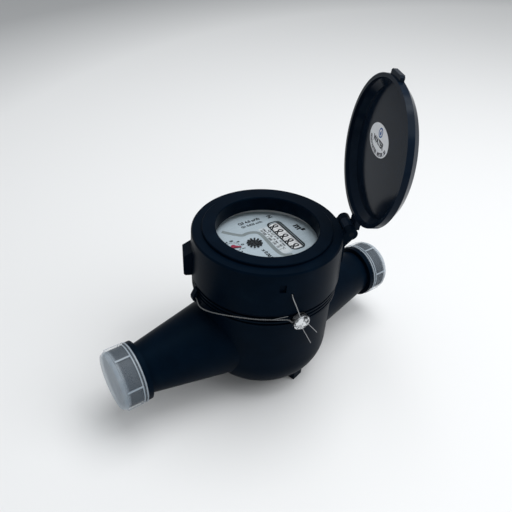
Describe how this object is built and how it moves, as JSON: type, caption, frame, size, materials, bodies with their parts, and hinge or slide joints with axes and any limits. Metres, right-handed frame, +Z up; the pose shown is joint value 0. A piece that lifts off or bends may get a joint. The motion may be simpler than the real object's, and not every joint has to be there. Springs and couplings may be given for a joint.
{
  "type": "water meter",
  "caption": "Multi-jet dry-dial water meter with tapered pipe ends, a rounded bowl, a screwed head ring, a hinged lid, thread caps and a sealed wire.",
  "frame": {"origin": "on the resting plane, under the axis of the register", "axes": "+X along the pipe towards the outlet, +Z up, +Y to the left of the flow"},
  "size_m": [0.1984, 0.1056, 0.1883],
  "materials": {
    "body_plastic": "satin",
    "strainer_plastic": "satin",
    "chamber_plastic": "satin",
    "steel": "satin",
    "bush": "polished",
    "magnet": "satin",
    "seal_rubber": "matte",
    "gear_plastic": "satin",
    "star_black": "gloss",
    "pointer_red": "gloss",
    "drum_white": "satin",
    "dial": "satin",
    "glass": "polished",
    "cap_plastic": "translucent satin",
    "wire": "bright",
    "seal_metal": "crimped"
  },
  "bodies": {
    "meter": {"meter_body": "body_plastic", "strainer": "strainer_plastic", "measuring_chamber": "chamber_plastic", "chamber_cover": "chamber_plastic", "impeller_pivot": "steel", "plate_seal": "seal_rubber", "pressure_plate": "chamber_plastic", "register_cup": "chamber_plastic", "train_plate": "chamber_plastic", "drum_axle": "steel", "dial_plate": "dial", "register_glass": "glass", "glass_gasket": "seal_rubber", "head_ring": "body_plastic", "hinge_pin": "steel", "seal_wire": "wire", "seal_strand": "wire", "crimp_seal": "seal_metal"},
    "lid": {"lid": "body_plastic"},
    "inlet_cap": {"inlet_cap": "cap_plastic"},
    "outlet_cap": {"outlet_cap": "cap_plastic"},
    "impeller": {"impeller": "chamber_plastic", "pivot_bush": "bush", "drive_magnet": "magnet"},
    "magnet_follower": {"driven_magnet": "magnet", "magnet_pinion": "gear_plastic"},
    "star": {"star_gear": "gear_plastic", "flow_star": "star_black"},
    "pointer": {"pointer_gear": "gear_plastic", "pointer": "pointer_red"},
    "drum_1": {"number_drum_1": "drum_white"},
    "drum_2": {"number_drum_2": "drum_white"},
    "drum_3": {"number_drum_3": "drum_white"},
    "drum_4": {"number_drum_4": "drum_white"},
    "drum_5": {"number_drum_5": "drum_white"}
  },
  "joints": [
    {"name": "lid_hinge", "type": "hinge", "parent": "meter", "child": "lid", "pos_m": [0.04188, -0.02134, 0.099], "axis": [0.454, 0.891, 0], "range_deg": [-95, 0]},
    {"name": "inlet_cap_pull", "type": "slide", "parent": "meter", "child": "inlet_cap", "axis": [-1, 0, 0], "range_m": [0, 0.06]},
    {"name": "outlet_cap_pull", "type": "slide", "parent": "meter", "child": "outlet_cap", "axis": [1, 0, 0], "range_m": [0, 0.06]},
    {"name": "impeller_spin", "type": "hinge", "parent": "meter", "child": "impeller", "pos_m": [0, 0, 0.03], "axis": [0, 0, 1], "continuous": true},
    {"name": "magnet_spin", "type": "hinge", "parent": "meter", "child": "magnet_follower", "pos_m": [0, 0, 0.068], "axis": [0, 0, 1], "continuous": true},
    {"name": "star_spin", "type": "hinge", "parent": "meter", "child": "star", "pos_m": [-0.0061, 0.00303, 0.072], "axis": [0, 0, 1], "continuous": true},
    {"name": "pointer_spin", "type": "hinge", "parent": "meter", "child": "pointer", "pos_m": [-0.0186, 0.00631, 0.072], "axis": [0, 0, 1], "continuous": true},
    {"name": "drum_1_spin", "type": "hinge", "parent": "meter", "child": "drum_1", "pos_m": [0.01457, 0.00048, 0.0836], "axis": [-0.0698, -0.9976, 0], "continuous": true},
    {"name": "drum_2_spin", "type": "hinge", "parent": "meter", "child": "drum_2", "pos_m": [0.01457, 0.00048, 0.0836], "axis": [-0.0698, -0.9976, 0], "continuous": true},
    {"name": "drum_3_spin", "type": "hinge", "parent": "meter", "child": "drum_3", "pos_m": [0.01457, 0.00048, 0.0836], "axis": [-0.0698, -0.9976, 0], "continuous": true},
    {"name": "drum_4_spin", "type": "hinge", "parent": "meter", "child": "drum_4", "pos_m": [0.01457, 0.00048, 0.0836], "axis": [-0.0698, -0.9976, 0], "continuous": true},
    {"name": "drum_5_spin", "type": "hinge", "parent": "meter", "child": "drum_5", "pos_m": [0.01457, 0.00048, 0.0836], "axis": [-0.0698, -0.9976, 0], "continuous": true}
  ],
  "couplings": [
    {"joint": "magnet_spin", "follows": "impeller_spin", "ratio": 1},
    {"joint": "star_spin", "follows": "impeller_spin", "ratio": -0.55556},
    {"joint": "pointer_spin", "follows": "impeller_spin", "ratio": 0.17921},
    {"joint": "drum_1_spin", "follows": "impeller_spin", "ratio": 0.0000017921},
    {"joint": "drum_2_spin", "follows": "impeller_spin", "ratio": 0.000017921},
    {"joint": "drum_3_spin", "follows": "impeller_spin", "ratio": 0.00017921},
    {"joint": "drum_4_spin", "follows": "impeller_spin", "ratio": 0.0017921},
    {"joint": "drum_5_spin", "follows": "impeller_spin", "ratio": 0.017921}
  ]
}
